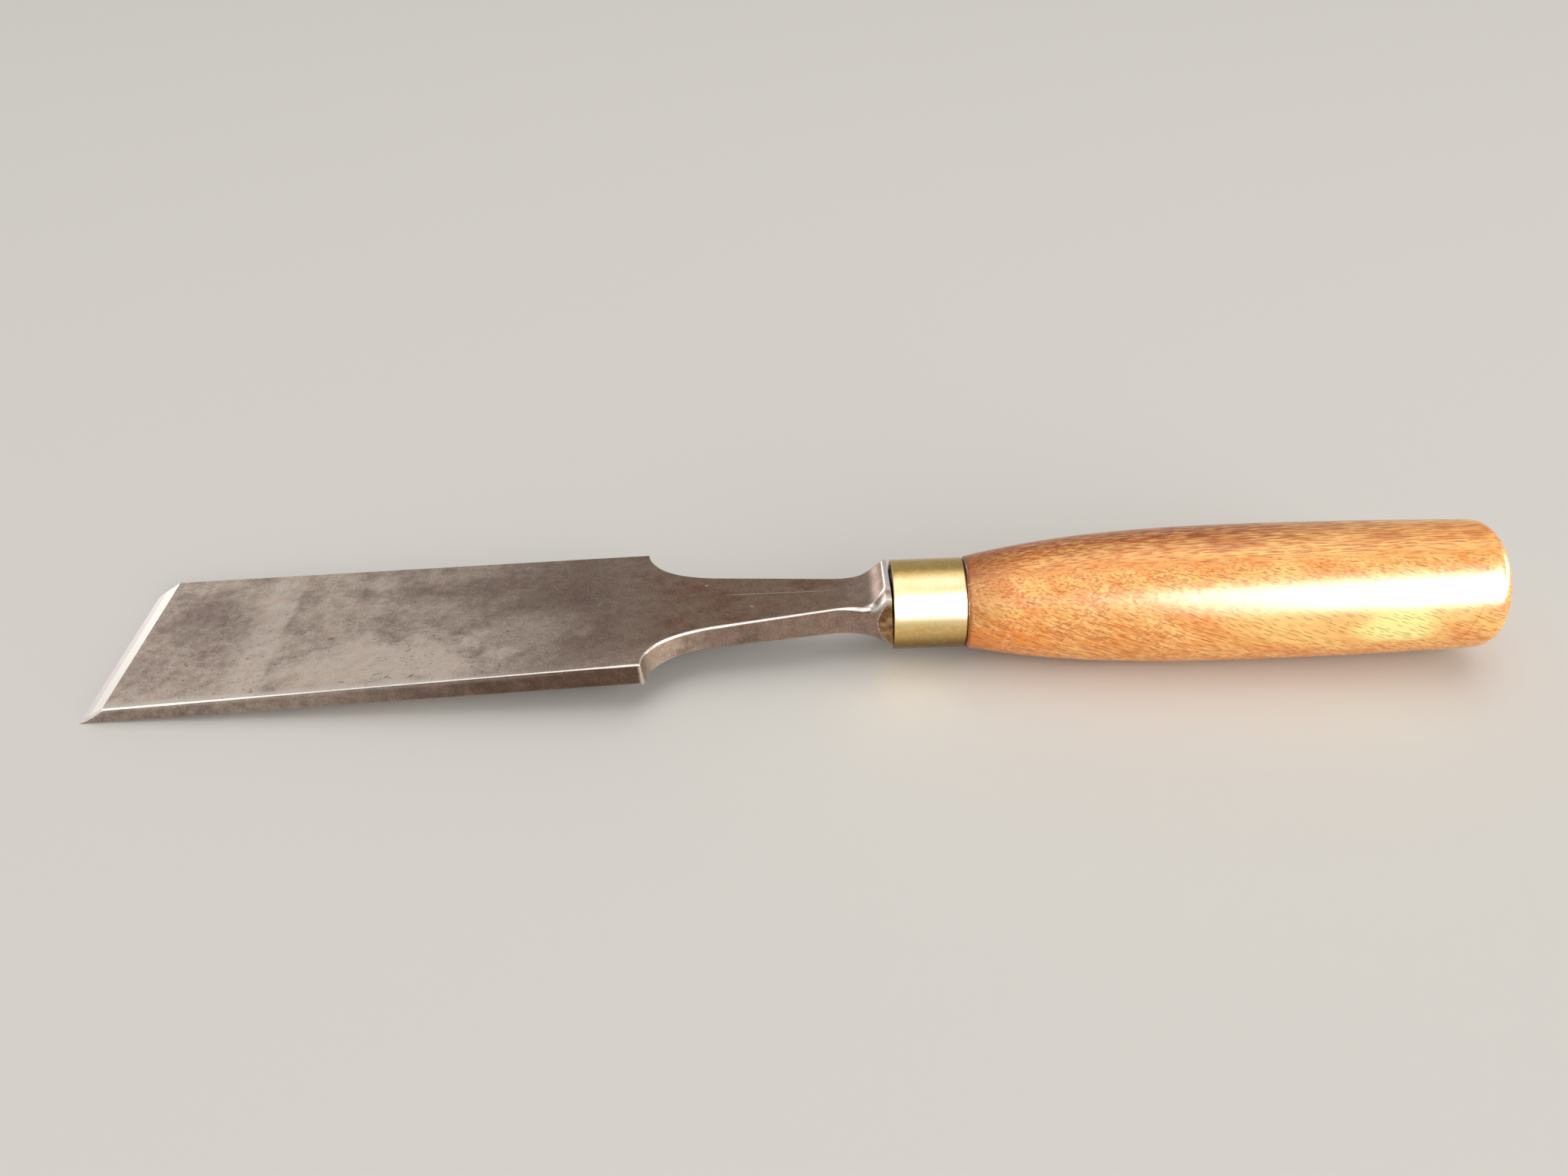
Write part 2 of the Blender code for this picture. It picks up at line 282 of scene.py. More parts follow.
def flank_depth(bar, z):
    """How far inside the plan's edge the flank is at a height, less the cove's draft."""
    hollow = bar.half - min(bar.half, flank_width(bar, z))
    return hollow - bar.draft * (bar.top - z) / (bar.top - bar.back)


def flank_wear_and_highlights(bar, side, filed, share):
    """How worn and painted bright the flank is, by the share of its height: painted highlight where the
    shoulder turns and just below a filed facet and, on the near side, a painted glow towards the worn edge."""
    turn = ease(bar.x, BLADE_LENGTH - 0.7 * SHOULDER_ROUND, BLADE_LENGTH - 0.1)
    turn *= 1 - ease(bar.x, BLADE_LENGTH - 0.2, BLADE_LENGTH + 0.03)
    wear_and_highlight = max(turn * between(0.35, 1.0, share), clamp(4 * filed) * ease(share, 0.88, 1.0))
    if side < 0:
        painted_glow = PAINTED_NEAR_GLOW.side * (1 - ease(bar.x, *PAINTED_NEAR_GLOW.side_end))
        wear_and_highlight = max(wear_and_highlight, painted_glow * ease(share, 0.7, 1.05))
    return wear_and_highlight


def half_section(bar, side):
    """One side of the bar, from the middle of its back to the middle of its top, as places with their marks:
    how worn and painted bright they are, how far on the flank, how far inside the half moon, and how far on a
    filed facet."""
    plan_x, plan_half = worn_plan(bar, side)
    facet = FAR_FACET if side > 0 else NEAR_FACET
    edge = FAR_EDGE * bar.edge if side > 0 else bar.edge
    filed = clamp((bar.x - facet.start) / (facet.end - facet.start)) if bar.bulge else 0.0
    flattened = clamp(6 * filed)
    roundness = between(EDGE_ROUNDNESS, FACET_ROUNDNESS, flattened)
    wander = 1 + EDGE_WANDER * noise.noise((bar.x / WANDER_LENGTH, side * 5.0, 0.0)) * (1 - flattened)
    low = bar.back + bar.low_edge
    low_depth = flank_depth(bar, low)
    low_inner = low_depth + bar.low_edge
    high = bar.top - between(EDGE_DROP * edge, facet.drop, filed) * wander
    high_depth = flank_depth(bar, high)
    high_inner = high_depth + between(EDGE_INSET * edge, facet.inset, filed) * wander

    def place(depth, z):
        return plan_x - bar.outward[0] * depth, plan_half - bar.outward[1] * depth, z

    across = [math.sin(step / STRIP_STEPS * math.pi / 2) for step in range(STRIP_STEPS)]
    x, y, z = place(low_inner, bar.back)
    points = [(x, share * y, z, 0.0, 0.0, OUTSIDE_MOON, 0.0) for share in across]
    low_corner = corner_points((low_inner, bar.back), (low_depth, low), (low_depth, bar.back), roundness)
    for step, (depth, z) in enumerate(low_corner):
        points.append((*place(depth, z), LOW_EDGE_WEAR, step / CORNER_STEPS, moon_at(bar, z), 0.0))
    for step in range(1, SIDE_STEPS):
        share = step / SIDE_STEPS
        z = between(low, high, share)
        wear_and_highlight = flank_wear_and_highlights(bar, side, filed, share)
        points.append((*place(flank_depth(bar, z), z), wear_and_highlight, 1.0, moon_at(bar, z), 0.0))
    on_facet = clamp(3 * filed)
    high_corner = corner_points((high_depth, high), (high_inner, bar.top), (high_depth, bar.top), roundness)
    for step, (depth, z) in enumerate(high_corner):
        share = step / CORNER_STEPS
        # Worn and painted-highlight edge, giving way to painted highlights along a filed facet's borders
        facet_border = max((1 - share) ** 4, share**6)
        wear_and_highlight = between(math.sin(share * math.pi) ** 0.5, facet_border, on_facet)
        on_flank = (1 - share) * (1 - on_facet)
        points.append((*place(depth, z), wear_and_highlight, on_flank, OUTSIDE_MOON, clamp(5 * filed)))
    # Painted glow on the top beside the near edge
    painted_glow = PAINTED_NEAR_GLOW.top * (1 - ease(bar.x, *PAINTED_NEAR_GLOW.top_end)) if side < 0 else 0.0
    x, y, z = place(high_inner, bar.top)
    for share in reversed(across):
        points.append((x, share * y, z, max(bar.rim, painted_glow * ease(share, 0.92, 1.0)), 0.0, OUTSIDE_MOON, 0.0))

    leaned = []
    for x, y, z, *marks in points:
        lean = bar.lean * (RIM_LEAN_UP * z + RIM_LEAN_ACROSS * side * y) / BOLSTER_HALF
        leaned.append((x - lean, side * y, z, *marks))
    return leaned


def smooth_skin(mesh, crease):
    """Turns a closed mesh's faces outwards and shades it smooth, except at edges over this many degrees."""
    shape = bmesh.new()
    shape.from_mesh(mesh)
    bmesh.ops.recalc_face_normals(shape, faces=shape.faces)
    shape.to_mesh(mesh)
    shape.free()
    mesh.shade_smooth()
    mesh.set_sharp_from_angle(angle=math.radians(crease))


def lay_on_bench(name, mesh):
    """Makes an object of a mesh modelled along the handle's axis, and lays it as the tool lies."""
    mesh.transform(Matrix.Translation(LYING_PLACE) @ Matrix.Rotation(-LYING_ANGLE, 4, "Y"))
    piece = bpy.data.objects.new(name, mesh)
    bpy.context.scene.collection.objects.link(piece)
    return piece


def forge_blade():
    """Joins the bar's sections into one closed skin, with the marks of its sections on it."""
    points = []
    faces = []
    honed = []
    half_count = 2 * STRIP_STEPS + 2 * CORNER_STEPS + SIDE_STEPS + 1
    loop_count = 2 * half_count - 2
    stations = forging_stations()
    for bar in stations:
        near = half_section(bar, -1)
        far = half_section(bar, 1)
        points += near + far[-2:0:-1]
    for row in range(len(stations) - 1):
        for step in range(loop_count):
            following = (step + 1) % loop_count
            here = row * loop_count
            there = here + loop_count
            faces.append((here + step, here + following, there + following, there + step))
            from_back = min(step, loop_count - 1 - step)
            upper = from_back >= STRIP_STEPS + CORNER_STEPS + SIDE_STEPS
            honed.append(upper and stations[row + 1].x <= HEEL_X)
    for first in (0, (len(stations) - 1) * loop_count):
        for step in range(half_count // 2):
            near = (step, step + 1, half_count - 2 - step, half_count - 1 - step)
            far = tuple((loop_count - index) % loop_count for index in near)
            for corners in (near, far):
                faces.append(tuple(dict.fromkeys(first + corner for corner in corners)))
                honed.append(False)
    mesh = bpy.data.meshes.new("blade_forging")
    mesh.from_pydata([tuple(value * MM for value in point[:3]) for point in points], [], faces)
    for column, name in enumerate(MARKS, start=3):
        marks = mesh.attributes.new(name, "FLOAT", "POINT")
        marks.data.foreach_set("value", [point[column] for point in points])
    mesh.polygons.foreach_set("material_index", [int(flag) for flag in honed])
    smooth_skin(mesh, BLADE_CREASE)
    return lay_on_bench("chisel_blade", mesh)


def shade(red, green, blue):
    """A colour given as it looks on a screen, from 0 to 255, as a shader takes it."""
    linear = [((c / 255 + 0.055) / 1.055) ** 2.4 if c > 10 else c / 3295 for c in (red, green, blue)]
    return *linear, 1.0


# Colours of the steel; the worn colour is partly real wear and partly painted highlight
STEEL = SimpleNamespace(
    dark=shade(180, 161, 150), pale=shade(213, 196, 182),
    grey_bloom=shade(148, 136, 119), pink_bloom=shade(216, 190, 178),
    shoulder=shade(131, 110, 97), neck=shade(145, 113, 95), bolster=shade(172, 152, 142),
    rust=shade(124, 82, 62), olive=shade(140, 124, 98), near_edge=shade(232, 212, 198),
    pale_patch=shade(234, 218, 204), dark_patch=shade(104, 80, 70), band=shade(240, 224, 212),
    side=shade(160, 143, 132), side_at_shoulder=shade(105, 81, 68),
    side_of_cove=shade(214, 190, 172), side_of_neck=shade(160, 137, 124),
    dark_on_side=shade(76, 60, 52), pale_on_side=shade(170, 148, 134),
    moon=shade(180, 143, 103), dark_in_moon=shade(126, 94, 63),
    near_land=shade(246, 222, 206), far_land=shade(190, 164, 154),
    filed=shade(178, 159, 143), dark_on_filed=shade(132, 113, 100),
    pit=shade(84, 68, 58), pit_rim_highlight=shade(246, 232, 220),
    scratch=shade(250, 240, 230), worn=shade(252, 246, 240),
    honed=shade(240, 235, 230), bright_honed=shade(254, 252, 248), wire_edge=shade(228, 218, 222),
)

# Where the patina, and the worn edges with their painted highlights, change along the blade or across it,
# each as the start and end of a fade
SHOULDER_TONE = (50.0, 104.0)
NECK_TONE = (104.0, 122.0)
STAINED = (106.0, 118.0)
BOLSTER_TONE = (150.0, 161.0)
NEAR_EDGE_TONE = (-10.0, -21.0)
BAND_START = (25.0, 31.0)
BAND_END = (37.2, 36.0)
SIDE_TONE = (30.0, 90.0)
NECK_SIDE_START = 0.8
NECK_SIDE_TONE = (116.0, 130.0)
LAND_BRIGHT = (0.6, 0.2)
LAND_TONE = (-4.0, 5.0)
PITTED_ALONG = (112.0, 70.0)
PITTED_ACROSS = (20.0, -4.0)
MOTTLED = (96.0, 20.0)
WIRE_EDGE = (2.6, 1.8)
LEAST_WEAR_AND_HIGHLIGHT = 0.62
WEAR_AND_HIGHLIGHT_GAINS = (((110.0, 64.0), 0.18), ((62.0, 34.0), 0.14))
SHOULDER_WEAR_AND_HIGHLIGHT = 0.95

# Patches and marks on the blade's top: the middle, the reach along, across and up, and how strong they are
PALE_PATCHES = (
    ((60.0, -14.0, 0.0), (21.0, 9.0, 99.0), 0.9),
    ((88.0, -6.0, 0.0), (10.0, 8.0, 99.0), 0.3),
)
DARK_PATCHES = (
    ((18.0, 5.0, 0.0), (9.0, 10.0, 99.0), 0.4),
    ((74.0, 11.0, 0.0), (14.0, 4.0, 99.0), 0.34),
    ((93.0, 5.0, 0.0), (9.0, 5.0, 99.0), 0.34),
)
BRIGHT_SPECKS = ((125.35, 6.2, 2.2), (135.06, -2.49, 2.6))
SPECK_REACH = (0.3, 0.2, 1.0)
# The near facet's tip: rubbed, and bright also from a painted highlight
RUBBED_TIP_AND_HIGHLIGHT = ((159.0, -6.3, 4.2), (1.6, 0.8, 0.7))
SCRATCH_START = (128.5, 2.25)
SCRATCH_END = 155.0
SCRATCH_SLOPE = -0.045
SCRATCH_WIDTH = (0.11, 0.02)
SCRATCH_ABOVE = (1.0, 1.5)
SCRATCH_FADE_IN = 3.0
SCRATCH_FADE_OUT = 9.0
RELIEF_DEPTH = 0.1 * MM


def node(tree, kind, inputs, **settings):
    """Adds a shader node. Inputs give a socket's name or number a plain value or another node's socket."""
    made = tree.nodes.new("ShaderNode" + kind)
    for name, value in settings.items():
        setattr(made, name, value)
    for key, value in inputs.items():
        if isinstance(value, bpy.types.NodeSocket):
            tree.links.new(value, made.inputs[key])
        else:
            made.inputs[key].default_value = value
    return made


def tree_of(*values):
    """The node tree of the first socket among some values."""
    return next(value.id_data for value in values if isinstance(value, bpy.types.NodeSocket))


def maths(operation, *values):
    return node(tree_of(*values), "Math", dict(enumerate(values)), operation=operation).outputs[0]


def times(product, *others):
    """The product of masks and amounts."""
    for other in others:
        product = maths("MULTIPLY", product, other)
    return product


def fade(value, low, high):
    """0 at low, 1 at high and smooth between, where low may be the larger."""
    inputs = {"Value": value, "From Min": low, "From Max": high}
    return node(value.id_data, "MapRange", inputs, interpolation_type="SMOOTHSTEP").outputs["Result"]


def tint(share, under, over, blend="MIX"):
    """Lays one colour over another by a share."""
    inputs = {0: share, 6: under, 7: over}
    tree = tree_of(share, under, over)
    return node(tree, "Mix", inputs, data_type="RGBA", blend_type=blend).outputs[2]


def wash(tone, mask, amount, colour):
    """Lays a colour over a tone where the mask is, as strongly as the amount."""
    return tint(times(mask, amount), tone, colour)


def stretched(place, size, turn=(0.0, 0.0, 0.0)):
    """Coordinates, turned and divided so that a pattern's unit is this many millimetres along each axis."""
    inputs = {"Vector": place, "Rotation": turn, "Scale": size}
    return node(place.id_data, "Mapping", inputs, vector_type="TEXTURE").outputs[0]


def clouds(place, size, detail=3.0, rough=0.5, turn=(0.0, 0.0, 0.0)):
    """Soft random light and dark, about 0.5 on average."""
    seat = stretched(place, size, turn)
    inputs = {"Vector": seat, "Scale": 1.0, "Detail": detail, "Roughness": rough}
    return node(place.id_data, "TexNoise", inputs).outputs[0]


def stain(place, middle, reach, ragged=0.0):
    """A soft patch round a place on the tool, with a ragged border."""
    tree = place.id_data
    inputs = {"Vector": place, "Location": middle, "Scale": reach}
    offset = node(tree, "Mapping", inputs, vector_type="TEXTURE").outputs[0]
    distance = node(tree, "VectorMath", {0: offset}, operation="LENGTH").outputs["Value"]
    return fade(maths("ADD", distance, ragged), 1.5, 0.5)


def mark(tree, name):
    return node(tree, "Attribute", {}, attribute_name=name).outputs["Fac"]


def new_finish(name):
    """A node material, its shader, and its place along the tool in millimetres."""
    finish = bpy.data.materials.new(name)
    finish.use_nodes = True
    tree = finish.node_tree
    seat = node(tree, "TexCoord", {}).outputs["Object"]
    turn = (0.0, -LYING_ANGLE, 0.0)
    inputs = {"Vector": seat, "Location": LYING_PLACE, "Rotation": turn, "Scale": (MM, MM, MM)}
    place = node(tree, "Mapping", inputs, vector_type="TEXTURE").outputs[0]
    return finish, tree, tree.nodes["Principled BSDF"], place


def dress(tree, shader, tone, rough, height, strength):
    """Gives a finish its colour, its roughness and a fine relief of this strength."""
    bump = node(tree, "Bump", {"Height": height, "Strength": strength, "Distance": RELIEF_DEPTH})
    tree.links.new(tone, shader.inputs["Base Color"])
    tree.links.new(rough, shader.inputs["Roughness"])
    tree.links.new(bump.outputs[0], shader.inputs["Normal"])


def steel_patterns(tree, place):
    """The place on the blade, and the marks and random patterns that its colours and relief are made from."""
    along, across, up = node(tree, "SeparateXYZ", {0: place}).outputs
    return SimpleNamespace(
        place=place, along=along, across=across, up=up,
        **{name: mark(tree, name) for name in MARKS},
        cloud=clouds(place, (13.0, 9.0, 9.0), 4.0, 0.6),
        hue=clouds(place, (7.0, 5.0, 5.0), 4.0, 0.6),
        mottle=clouds(place, (2.2, 2.2, 2.2), 4.0, 0.62),
        grit=clouds(place, (0.32, 0.36, 0.36), 2.0, 0.6),
        scars=clouds(place, (1.5, 0.9, 0.9), 3.0, 0.62, (0.0, 0.0, math.radians(20.0))),
        lines=clouds(place, (16.0, 0.2, 0.2), 2.0, 0.5),
    )


def steel_patina(steel):
    """Cloudy grey, browner towards the neck, with soft patches and a pale band across the blade."""
    along = steel.along
    hue = steel.hue
    tone = tint(fade(steel.cloud, 0.36, 0.64), STEEL.dark, STEEL.pale)
    tone = wash(tone, fade(hue, 0.52, 0.7), 0.36, STEEL.grey_bloom)
    tone = wash(tone, fade(hue, 0.48, 0.3), 0.4, STEEL.pink_bloom)
    tone = wash(tone, fade(along, *SHOULDER_TONE), 0.8, STEEL.shoulder)
    tone = wash(tone, fade(along, *NECK_TONE), 0.5, STEEL.neck)
    stained = fade(along, *STAINED)
    tone = wash(tone, times(stained, fade(hue, 0.5, 0.62)), 0.4, STEEL.rust)
    tone = wash(tone, times(stained, fade(hue, 0.48, 0.38)), 0.35, STEEL.olive)
    tone = wash(tone, fade(along, *BOLSTER_TONE), 0.6, STEEL.bolster)
    tone = wash(tone, fade(steel.across, *NEAR_EDGE_TONE), 0.3, STEEL.near_edge)
    ragged = maths("MULTIPLY_ADD", hue, 1.8, -0.9)
    for patches, colour in ((PALE_PATCHES, STEEL.pale_patch), (DARK_PATCHES, STEEL.dark_patch)):
        for middle, reach, amount in patches:
            tone = wash(tone, stain(steel.place, middle, reach, ragged), amount, colour)
    band_end = maths("MULTIPLY_ADD", hue, 1.6, along)
    band = times(fade(along, *BAND_START), fade(band_end, *BAND_END))
    return wash(tone, band, 0.5, STEEL.band)


def steel_sides(steel, tone):
    """Adds the stained sides, and the half moons, bright land and filed facets of the bolster."""
    along = steel.along
    blade_side = tint(fade(along, *SIDE_TONE), STEEL.side, STEEL.side_at_shoulder)
    neck_side = tint(fade(along, *NECK_SIDE_TONE), STEEL.side_of_cove, STEEL.side_of_neck)
    past_shoulder = fade(along, BLADE_LENGTH - NECK_SIDE_START, BLADE_LENGTH)
    side = tint(past_shoulder, blade_side, neck_side)
    side = wash(side, fade(steel.hue, 0.5, 0.68), 0.35, STEEL.dark_on_side)
    side = wash(side, fade(steel.hue, 0.45, 0.3), 0.3, STEEL.pale_on_side)
    tone = wash(tone, steel.flank, 0.92, side)
    patchy = fade(steel.mottle, 0.35, 0.65)
    moon = tint(patchy, STEEL.moon, STEEL.dark_in_moon)
    tone = tint(fade(steel.moon, -0.02, 0.05), tone, moon)
    land = fade(along, BOLSTER_LAND - LAND_BRIGHT[0], BOLSTER_LAND - LAND_BRIGHT[1])
    land = times(land, fade(steel.flank, 0.4, 0.1))
    land_tone = tint(fade(steel.across, *LAND_TONE), STEEL.near_land, STEEL.far_land)
    tone = wash(tone, land, 0.8, land_tone)
    filed = tint(patchy, STEEL.filed, STEEL.dark_on_filed)
    return wash(tone, steel.filed, 0.9, filed)


def steel_pits(steel):
    """Small pits in the blade's top, fewer towards the shoulders and the far edge, and painted highlights
    round them.
    """
    pitted = times(
        fade(steel.along, *PITTED_ALONG), fade(steel.across, *PITTED_ACROSS),
        fade(steel.hue, 0.36, 0.5), fade(steel.flank, 0.3, 0.0),
    )
    pits = times(pitted, fade(steel.scars, 0.62, 0.66))
    rims = times(pitted, fade(steel.scars, 0.56, 0.61))
    return pits, rims


def steel_scratches(steel):
    """One long scratch along the top of the neck, and small bright specks."""
    at_edge = SCRATCH_START[1] - SCRATCH_SLOPE * SCRATCH_START[0]
    line = maths("MULTIPLY_ADD", steel.along, SCRATCH_SLOPE, at_edge)
    off_line = maths("ABSOLUTE", maths("SUBTRACT", steel.across, line))
    scratch = times(
        fade(off_line, *SCRATCH_WIDTH), fade(steel.up, *SCRATCH_ABOVE),
        fade(steel.along, SCRATCH_START[0], SCRATCH_START[0] + SCRATCH_FADE_IN),
        fade(steel.along, SCRATCH_END, SCRATCH_END - SCRATCH_FADE_OUT),
    )
    for middle in BRIGHT_SPECKS:
        scratch = maths("MAXIMUM", scratch, stain(steel.place, middle, SPECK_REACH))
    return scratch


def steel_wear_and_highlights(steel):
    """Where the steel is painted bright, partly as wear and partly as painted highlight: its worn edges, more
    so towards the cutting edge and at the shoulders, painted glints on the ridges round the half moons, and
    the tip of the near facet."""
    along = steel.along
    # Partly wear, partly painted highlight: stronger towards the cutting edge and at the shoulders
    wear_and_highlight = LEAST_WEAR_AND_HIGHLIGHT
    for places, gain in WEAR_AND_HIGHLIGHT_GAINS:
        wear_and_highlight = maths("MULTIPLY_ADD", fade(along, *places), gain, wear_and_highlight)
    shoulders = fade(along, BLADE_LENGTH - WORN_SHOULDER_LENGTH, BLADE_LENGTH)
    wear_and_highlight = maths("MAXIMUM", wear_and_highlight, times(shoulders, SHOULDER_WEAR_AND_HIGHLIGHT))
    wear_and_highlight = times(wear_and_highlight, steel.worn)
    # Painted glints, dotted along the ridges round the half moons
    ridge_glints = fade(maths("ABSOLUTE", maths("ADD", steel.moon, 0.08)), 0.1, 0.03)
    ridge_glints = times(ridge_glints, fade(steel.grit, 0.5, 0.6))
    wear_and_highlight = maths("MAXIMUM", wear_and_highlight, times(ridge_glints, 0.8))
    return maths("MAXIMUM", wear_and_highlight, stain(steel.place, *RUBBED_TIP_AND_HIGHLIGHT))


def old_steel():
    """Satin steel with its patina, pits with painted highlights round them, scratches, fine grinding lines,
    and bright edges, partly worn and partly painted highlight.
    """
    finish, tree, shader, place = new_finish("old_steel")
    steel = steel_patterns(tree, place)
    pits, pit_rim_highlights = steel_pits(steel)
    wear_and_highlight = steel_wear_and_highlights(steel)
    tone = steel_sides(steel, steel_patina(steel))
    # Painted highlights round the pits
    tone = wash(tone, pit_rim_highlights, 0.15, STEEL.pit_rim_highlight)
    tone = wash(tone, pits, 0.66, STEEL.pit)
    mottled = maths("MULTIPLY_ADD", fade(steel.along, *MOTTLED), 0.08, 0.14)
    tone = tint(mottled, tone, fade(steel.mottle, 0.7, 0.3), "OVERLAY")
    tone = tint(0.24, tone, fade(steel.grit, 0.75, 0.25), "OVERLAY")
    tone = wash(tone, steel_scratches(steel), 0.6, STEEL.scratch)
    # Bright edges, partly worn and partly painted highlight, with a painted glow and painted glints
    tone = tint(wear_and_highlight, tone, STEEL.worn)
    rough = maths("MULTIPLY_ADD", steel.mottle, 0.24, 0.2)
    rough = maths("SUBTRACT", rough, times(wear_and_highlight, 0.06))
    height = maths("MULTIPLY_ADD", steel.lines, 0.4, times(steel.mottle, 0.5))
    height = maths("MULTIPLY_ADD", steel.grit, 0.3, height)
    height = maths("SUBTRACT", height, pits)
    dress(tree, shader, tone, rough, height, 0.16)
    shader.inputs["Metallic"].default_value = 1.0
    return finish


def honed_steel():
    """The bevel, freshly ground and honed: pale and bright, with fine lines square to the edge and a duller
    wire edge where it was rubbed on the finest stone."""
    finish, tree, shader, place = new_finish("honed_steel")
    along = node(tree, "SeparateXYZ", {0: place}).outputs[0]
    lines = clouds(place, (6.0, 0.12, 6.0), 2.0, 0.6)
    tone = tint(lines, STEEL.honed, STEEL.bright_honed)
    tone = wash(tone, fade(along, *WIRE_EDGE), 0.8, STEEL.wire_edge)
    dress(tree, shader, tone, maths("MULTIPLY_ADD", lines, 0.1, 0.4), lines, 0.05)
    shader.inputs["Metallic"].default_value = 1.0
    return finish


blade = forge_blade()
blade.data.materials.append(old_steel())
blade.data.materials.append(honed_steel())
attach(blade, "root")
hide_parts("blade")

# Ferrule: a short length of brass tube, cut square, its rims eased, pressed over the handle's spigot so that
# the wood can't split on the tang. It was polished in the lathe, so its fine lines run round it.
FERRULE_FRONT = 164.1
FERRULE_BACK = 179.0
FERRULE_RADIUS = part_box("ferrule")[1].y / MM
FERRULE_WALL = 1.1
RIM_ROUND = 0.3
TURNED_STEPS = 144
TURNED_CREASE = 35.0
FERRULE_NICKS = ((169.2, -1.5, 9.2), (176.0, -0.7, 9.3))
NICK_REACH = (0.4, 0.08, 0.4)
# Painted dark reflections on the ferrule's top, lower half and underside, and a painted shadow at its front
DARK_REFLECTION_ACROSS = (-4.4, -1.6)
DARK_REFLECTION_UP = (-2.0, 2.0)
LOWER_REFLECTION_UP = (2.6, 0.0)
UNDERSIDE_REFLECTION_UP = (1.0, -5.5)
GAP_SHADOW = (0.12, 0.02)
BRASS = SimpleNamespace(
    pale=shade(250, 233, 192), warm=shade(244, 222, 170), line=shade(220, 186, 120),
    above=shade(198, 164, 88), below=shade(234, 202, 128), underside=shade(120, 86, 34),
    tarnish=shade(146, 124, 58), rubbed=shade(246, 224, 154),
    nick=shade(255, 240, 200), gap=shade(58, 42, 24),
)


def arc(centre, radius, start_angle, end_angle, steps):
    """Points along an arc, both ends included."""
    points = []
    for step in range(steps + 1):
        angle = between(start_angle, end_angle, step / steps)
        points.append((centre[0] + radius * math.cos(angle), centre[1] + radius * math.sin(angle)))
    return points


def turn_on_lathe(name, profile, closed, wobble=None):
    """Turns a profile of (x, radius) points round the handle's axis into a closed skin."""
    points = []
    faces = []
    rows = []
    for x, radius in profile:
        if radius == 0:
            rows.append([len(points)] * TURNED_STEPS)
            points.append((x * MM, 0.0, 0.0))
            continue
        rows.append(list(range(len(points), len(points) + TURNED_STEPS)))
        for step in range(TURNED_STEPS):
            angle = 2 * math.pi * step / TURNED_STEPS
            local = radius + (wobble(x, angle) if wobble else 0.0)
            points.append((x * MM, local * math.sin(angle) * MM, local * math.cos(angle) * MM))
    pairs = list(zip(rows, rows[1:]))
    if closed:
        pairs.append((rows[-1], rows[0]))
    for row, following in pairs:
        for step in range(TURNED_STEPS):
            after = (step + 1) % TURNED_STEPS
            corners = (row[step], row[after], following[after], following[step])
            faces.append(tuple(dict.fromkeys(corners)))
    mesh = bpy.data.meshes.new(name)
    mesh.from_pydata(points, [], faces)
    smooth_skin(mesh, TURNED_CREASE)
    return lay_on_bench(name, mesh)


def ferrule_profile():
    """The tube's wall, with eased outer rims."""
    inner = FERRULE_RADIUS - FERRULE_WALL
    rim = FERRULE_RADIUS - RIM_ROUND
    profile = arc((FERRULE_FRONT + RIM_ROUND, rim), RIM_ROUND, math.pi, math.pi / 2, steps=4)
    profile += straight(profile[-1], (FERRULE_BACK - RIM_ROUND, FERRULE_RADIUS), steps=12)
    profile += arc((FERRULE_BACK - RIM_ROUND, rim), RIM_ROUND, math.pi / 2, 0.0, steps=4)[1:]
    return profile + [(FERRULE_BACK, inner), (FERRULE_FRONT, inner)]


